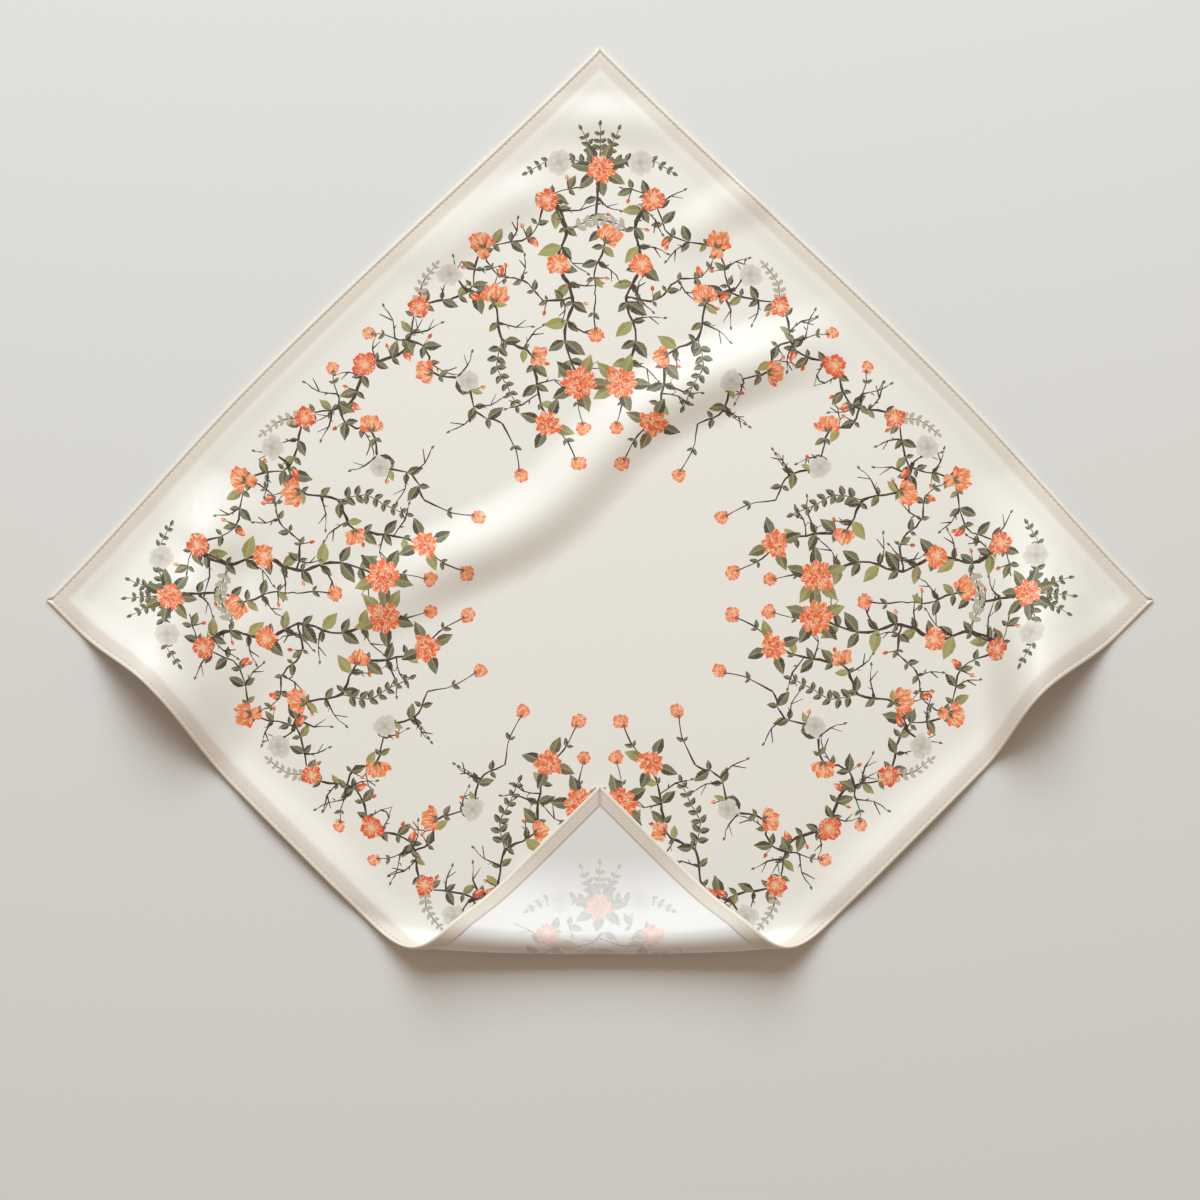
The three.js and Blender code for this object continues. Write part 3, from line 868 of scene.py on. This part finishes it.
def printed_silk(name, ground, strength):
    """Silk twill with the print at the given strength.
    Long thin floats of thread give it a satin sheen, with faint slubs along the weft."""
    material, tree = new_material(name)
    flat = attribute(tree, "flat")["Vector"]
    dye = attribute(tree, "ink")
    motif = add_node(tree, "ShaderNodeSeparateXYZ", {0: attribute(tree, "motif")["Vector"]})
    kind = add_node(tree, "ShaderNodeSeparateXYZ", {0: attribute(tree, "kind")["Vector"]})

    def maths(operation, *inputs):
        return add_node(tree, "ShaderNodeMath", dict(enumerate(inputs)), operation=operation).outputs[0]

    # Petals: streaks of paler dye that run from the root to the tip
    along, across = motif.outputs["X"], motif.outputs["Y"]
    streak_place = add_node(
        tree,
        "ShaderNodeCombineXYZ",
        {"X": maths("MULTIPLY", across, 0.85), "Y": maths("MULTIPLY", along, 0.22), "Z": kind.outputs["Z"]},
    )
    streaks = add_node(
        tree,
        "ShaderNodeTexNoise",
        {"Vector": streak_place.outputs[0], "Scale": 1.0, "Detail": 3.0, "Roughness": 0.62},
    )
    pale = ramp(tree, streaks.outputs["Fac"], 0.51, 0.57)
    pale_petal = maths("MULTIPLY", maths("MULTIPLY", pale, 0.82), kind.outputs["X"])
    inked = blend(tree, pale_petal, dye["Color"], linear("#FAD3AE"))

    # Leaves: a pale midrib with side veins, and one half lighter than the other
    spread = maths("DIVIDE", across, motif.outputs["Z"])
    rib = ramp(tree, maths("ABSOLUTE", spread), 0.2, 0.08)
    slanted = maths("SUBTRACT", along, maths("MULTIPLY", maths("ABSOLUTE", across), 0.8))
    vein_wave = maths("SINE", maths("MULTIPLY", slanted, 2 * math.pi / VEIN_PITCH))
    veins = ramp(tree, vein_wave, 0.55, 1.0, top=0.5)
    lines = maths("MULTIPLY", maths("MAXIMUM", rib, veins), kind.outputs["Y"])
    inked = blend(tree, maths("MULTIPLY", lines, 0.42), inked, linear("#BDBE92"))
    lit_half = ramp(tree, spread, -0.1, 0.25, top=0.24)
    inked = blend(tree, maths("MULTIPLY", lit_half, kind.outputs["Y"]), inked, linear("#B9BC8E"))

    # The dye takes unevenly, in soft blots of a few millimetres, and the ground has faint slubs
    blots = add_node(tree, "ShaderNodeTexNoise", {"Vector": flat, "Scale": 0.35, "Detail": 3.0})
    uneven = ramp(tree, blots.outputs["Fac"], 0.35, 0.65, bottom=0.94)
    stretched = add_node(tree, "ShaderNodeMapping", {"Vector": flat, "Scale": (0.03, 1.1, 1.0)}).outputs[0]
    slub_noise = add_node(tree, "ShaderNodeTexNoise", {"Vector": stretched, "Scale": 1.0, "Detail": 2.0})
    slubs = slub_noise.outputs["Fac"]
    ground_dark = [c * 0.975 for c in linear(ground)[:3]] + [1]
    cloth = blend(tree, slubs, ground_dark, linear(ground))

    # The hem's turned layer shows through as a darker band with a soft inner edge
    place = add_node(tree, "ShaderNodeSeparateXYZ", {0: flat})
    from_middle = maths("MAXIMUM", *[maths("ABSOLUTE", place.outputs[axis]) for axis in "XY"])
    hem_start = HALF_SIDE - HEM_WIDTH
    band = ramp(tree, from_middle, hem_start - 2.5, hem_start + 1, interpolation_type="SMOOTHSTEP")
    cloth = blend(tree, band, cloth, linear("#DFD7CD"))
    held = maths("MULTIPLY", maths("MULTIPLY", dye["Alpha"], uneven), strength)
    colour = blend(tree, held, cloth, inked)

    # Twill lines are about 0.4 mm apart on the real cloth. Here they are 1.6 mm apart, to show at all.
    twill = add_node(
        tree,
        "ShaderNodeTexWave",
        {"Vector": flat, "Scale": 2 * math.pi / (10 * math.sqrt(2) * TWILL_PITCH), "Distortion": 0.3},
        bands_direction="DIAGONAL",
    )
    relief = maths("ADD", maths("MULTIPLY", twill.outputs["Fac"], 0.35), slubs)
    bump = add_node(
        tree, "ShaderNodeBump", {"Height": relief, "Strength": 0.25, "Distance": TWILL_RELIEF * MM}
    )
    surface = add_node(
        tree,
        "ShaderNodeBsdfPrincipled",
        {
            "Base Color": colour,
            "Normal": bump.outputs[0],
            "Roughness": 0.52,
            "IOR": 1.54,
            "Specular IOR Level": 0.4,
            "Sheen Weight": 0.1,
            "Sheen Roughness": 0.35,
        },
    )
    add_node(tree, "ShaderNodeOutputMaterial", {"Surface": surface.outputs[0]})
    return material


silk_face = printed_silk("printed_silk_twill", "#EFEDE7", 1.0)
silk_reverse = printed_silk("silk_twill_reverse", "#E3E2E2", 0.3)
panel = new_piece("silk_square", bm, silk_face, silk_reverse)
mesh = panel.data
flat = mesh_points(panel)
on_face = flat[:, 2] > 0
laid, along_u, along_v, out = lay(flat)
step = 0.2
relief = seam_relief(flat)
slope_u = (seam_relief(flat + (step, 0, 0)) - seam_relief(flat - (step, 0, 0))) / (2 * step)
slope_v = (seam_relief(flat + (0, step, 0)) - seam_relief(flat - (0, step, 0))) / (2 * step)
normals = out - slope_u[:, None] * along_u - slope_v[:, None] * along_v
normals /= np.linalg.norm(normals, axis=1)[:, None]
normals[~on_face] *= -1
mesh.vertices.foreach_set("co", (laid + out * relief[:, None] * MM).ravel())
mesh.update()

# What each corner of each face needs for its dye
loops = np.empty(len(mesh.loops), dtype=int)
mesh.loops.foreach_get("vertex_index", loops)
starts = np.empty(len(mesh.polygons), dtype=int)
sizes = np.empty(len(mesh.polygons), dtype=int)
mesh.polygons.foreach_get("loop_start", starts)
mesh.polygons.foreach_get("loop_total", sizes)
face_shape = np.empty(len(mesh.polygons), dtype=int)
mesh.attributes["shape"].data.foreach_get("value", face_shape)
shape = np.repeat(face_shape, sizes)
printed = shape >= 0


def of_shape(values):
    """One value of each corner's shape, or the first shape's where there is no dye."""
    return np.array(values)[np.maximum(shape, 0)]


place = np.abs(flat[loops][:, :2]) - of_shape([s["root"] for s in drawn])
heading = of_shape([s["heading"] for s in drawn])
length = of_shape([s["length"] for s in drawn])
along = place[:, 0] * np.cos(heading) + place[:, 1] * np.sin(heading)
across = place[:, 1] * np.cos(heading) - place[:, 0] * np.sin(heading)
share = np.clip(along / length, 0, 1)[:, None]
dyes = of_shape([s["base"] for s in drawn]) * (1 - share) + of_shape([s["tip"] for s in drawn]) * share
dyes[:, 3] = printed
motifs = np.stack([along, across, of_shape([s["half_width"] for s in drawn])], axis=1)
kinds = np.stack(
    [
        of_shape([s["kind"] == "petal" for s in drawn]) & printed,
        of_shape([s["kind"] == "leaf" for s in drawn]) & printed,
        of_shape([s["seed"] for s in drawn]),
    ],
    axis=1,
)
mesh.attributes.new("ink", "FLOAT_COLOR", "CORNER").data.foreach_set("color", dyes.ravel())
mesh.attributes.new("motif", "FLOAT_VECTOR", "CORNER").data.foreach_set("vector", motifs.ravel())
mesh.attributes.new("kind", "FLOAT_VECTOR", "CORNER").data.foreach_set("vector", kinds.astype(float).ravel())
mesh.attributes.new("flat", "FLOAT_VECTOR", "POINT").data.foreach_set("vector", flat.ravel())

# The reverse takes the second material. A map keeps the two faces apart: the printed one large, the
# reverse small, and the cut edge as a rim round the printed one.
on_reverse = ~on_face[loops]
reverse_face = np.minimum.reduceat(on_reverse, starts)
mesh.polygons.foreach_set("material_index", reverse_face.astype(int))
rim = np.repeat(~reverse_face, sizes) & on_reverse
spread = (flat[loops][:, :2] / SIDE + 0.5) * (1 + 0.004 * rim[:, None])
face_map = FACE_CHART[0] + spread * FACE_CHART[1]
reverse_map = REVERSE_CHART[0] + spread * REVERSE_CHART[1]
chart = np.where(np.repeat(reverse_face, sizes)[:, None], reverse_map, face_map)
mesh.uv_layers.new(name="OFBake").data.foreach_set("uv", chart.ravel())
mesh.attributes.remove(mesh.attributes["shape"])
mesh.polygons.foreach_set("use_smooth", np.ones(len(mesh.polygons), dtype=bool))
mesh.normals_split_custom_set_from_vertices(normals)
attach(panel, "root")
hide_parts("silk_panel")

# Hems
# Each side is rolled over its cut edge and turned under, in the same silk dyed plain. The roll stands out on
# both faces as a narrow bead, and the layer under the panel is ten millimetres deep.
BEAD = 2.7  # width of the roll
STATION = 4.0
HEM_SECTION = [  # distance in from the finished side, and offset from the panel's middle surface
    (HEM_WIDTH, -0.28),
    (HEM_WIDTH, -0.36),
    (HEM_WIDTH - 1.0, -0.6),
    (6.5, -0.85),
    (4.3, -1.02),
    (3.7, -1.06),
    (3.2, -0.97),
    (2.8, -1.06),
    (2.3, -1.32),
    (1.5, -1.5),
    (0.7, -1.36),
    (0.15, -0.98),
    (0.0, -0.45),
    (0.15, 0.05),
    (0.7, 0.38),
    (1.45, 0.5),
    (2.2, 0.42),
    (BEAD, 0.27),
    (2.2, 0.265),
    (1.05, 0.265),
    (0.95, -0.42),
    (4.0, -0.42),
]
SIDES = {  # for each one, where a point with this inset and this run along the side lies on the flat cloth
    "upper_right": lambda inset, run: (HALF_SIDE - inset, run),
    "upper_left": lambda inset, run: (run, HALF_SIDE - inset),
    "lower_left": lambda inset, run: (inset - HALF_SIDE, run),
    "lower_right": lambda inset, run: (run, inset - HALF_SIDE),
}

# Dyed silk twill: with layer on layer it looks darker and more matt than the printed face, and a little
# mottled. The tight roll along the edge is paler.
plain_silk, tree = new_material("dyed_silk_twill")
flat_place = attribute(tree, "flat")["Vector"]
inset_in = attribute(tree, "inset")["Fac"]
mottle = add_node(tree, "ShaderNodeTexNoise", {"Vector": flat_place, "Scale": 0.25, "Detail": 4.0})
mottled = add_node(tree, "ShaderNodeMath", {0: mottle.outputs["Fac"], 1: 0.25}, operation="MULTIPLY")
hem_colour = linear("#DDD9D4")
for factor, tint in (
    (ramp(tree, inset_in, HEM_WIDTH, HEM_WIDTH - 6), "#DCD1C4"),
    (ramp(tree, inset_in, BEAD + 0.3, BEAD), "#E7E1D7"),
    (mottled.outputs[0], "#D9CDBE"),
):
    hem_colour = blend(tree, factor, hem_colour, linear(tint))
twill = add_node(
    tree,
    "ShaderNodeTexWave",
    {"Vector": flat_place, "Scale": 0.14, "Distortion": 0.3},
    bands_direction="DIAGONAL",
)
bump = add_node(
    tree,
    "ShaderNodeBump",
    {"Height": twill.outputs["Fac"], "Strength": 0.3, "Distance": TWILL_RELIEF * MM},
)
surface = add_node(
    tree,
    "ShaderNodeBsdfPrincipled",
    {
        "Base Color": hem_colour,
        "Normal": bump.outputs[0],
        "Roughness": 0.6,
        "IOR": 1.54,
        "Specular IOR Level": 0.3,
        "Sheen Weight": 0.1,
        "Sheen Roughness": 0.4,
    },
)
add_node(tree, "ShaderNodeOutputMaterial", {"Surface": surface.outputs[0]})

for name, place_on in SIDES.items():
    bm = bmesh.new()
    section = bm.faces.new([bm.verts.new((inset, 0, offset)) for inset, offset in HEM_SECTION])
    start = section.verts[:]
    end = bmesh.ops.extrude_face_region(bm, geom=[section])["geom"]
    end = [item for item in end if isinstance(item, bmesh.types.BMVert)]
    for verts, way in ((start, -1), (end, 1)):
        for vert in verts:
            vert.co.y = way * (HALF_SIDE - vert.co.x - HEM_GAP * math.sqrt(0.5))
    lengthwise = [e for e in bm.edges if abs(e.verts[0].co.y - e.verts[1].co.y) > HALF_SIDE]
    bmesh.ops.subdivide_edges(bm, edges=lengthwise, cuts=round(SIDE / STATION))
    bmesh.ops.recalc_face_normals(bm, faces=bm.faces[:])
    hem = new_piece(f"rolled_hem_{name}", bm, plain_silk)
    made = mesh_points(hem)
    flat = np.stack([*place_on(made[:, 0], made[:, 1]), made[:, 2]], axis=1)
    hem.data.vertices.foreach_set("co", lay(flat)[0].ravel())
    hem.data.attributes.new("flat", "FLOAT_VECTOR", "POINT").data.foreach_set("vector", flat.ravel())
    hem.data.attributes.new("inset", "FLOAT", "POINT").data.foreach_set("value", made[:, 0].copy())
    hem.data.update()
    if name.endswith("right"):
        hem.data.flip_normals()
    hem.data.polygons.foreach_set("use_smooth", np.ones(len(hem.data.polygons), dtype=bool))
    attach(hem, "root")
    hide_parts(f"hem_{name}")

# Stitching
# Fine polyester thread holds the hems, in running stitches that show on both faces as short bars sunk
# a little into the silk.
THREAD_WIDTH = 0.6
THREAD_HEIGHT = THREAD_WIDTH * 0.8
STITCH_LENGTH = 2.3
FRONT_SEAM = SILK_WALL / 2 - SEAM_DEPTH / 2  # offset of the stitches from the panel's middle surface
REVERSE_SEAM = -0.95

# Spun polyester thread: matt and a shade darker than the silk, with fine slanting lines from its twist
thread_material, tree = new_material("spun_polyester_thread")
twist = add_node(
    tree,
    "ShaderNodeTexWave",
    {"Vector": add_node(tree, "ShaderNodeTexCoord").outputs["Object"], "Scale": 1500.0},
    bands_direction="DIAGONAL",
)
thread_colour = blend(tree, twist.outputs["Fac"], linear("#C9BFB1"), linear("#DDD5CA"))
surface = add_node(
    tree,
    "ShaderNodeBsdfPrincipled",
    {"Base Color": thread_colour, "Roughness": 0.6, "Sheen Weight": 0.2},
)
add_node(tree, "ShaderNodeOutputMaterial", {"Surface": surface.outputs[0]})

for name, offset in (("front", FRONT_SEAM), ("reverse", REVERSE_SEAM)):
    bm = bmesh.new()
    run_end = HALF_SIDE - SEAM_INSET - STITCH_LENGTH
    places = np.arange(-math.floor(run_end / STITCH_PITCH) + 0.5, run_end / STITCH_PITCH) * STITCH_PITCH
    for place_on in SIDES.values():
        for run in places:
            u, v = place_on(SEAM_INSET, run)
            lies_along_u = abs(v) > abs(u)
            size = (STITCH_LENGTH, THREAD_WIDTH) if lies_along_u else (THREAD_WIDTH, STITCH_LENGTH)
            shape_matrix = Matrix.Translation((u, v, offset)) @ Matrix.Diagonal((*size, THREAD_HEIGHT, 1))
            bmesh.ops.create_uvsphere(bm, u_segments=6, v_segments=4, radius=0.5, matrix=shape_matrix)
    bmesh.ops.recalc_face_normals(bm, faces=bm.faces[:])
    seam = new_piece(f"hem_stitches_{name}", bm, thread_material)
    seam.data.vertices.foreach_set("co", lay(mesh_points(seam))[0].ravel())
    seam.data.update()
    seam.data.polygons.foreach_set("use_smooth", np.ones(len(seam.data.polygons), dtype=bool))
    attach(seam, "root")
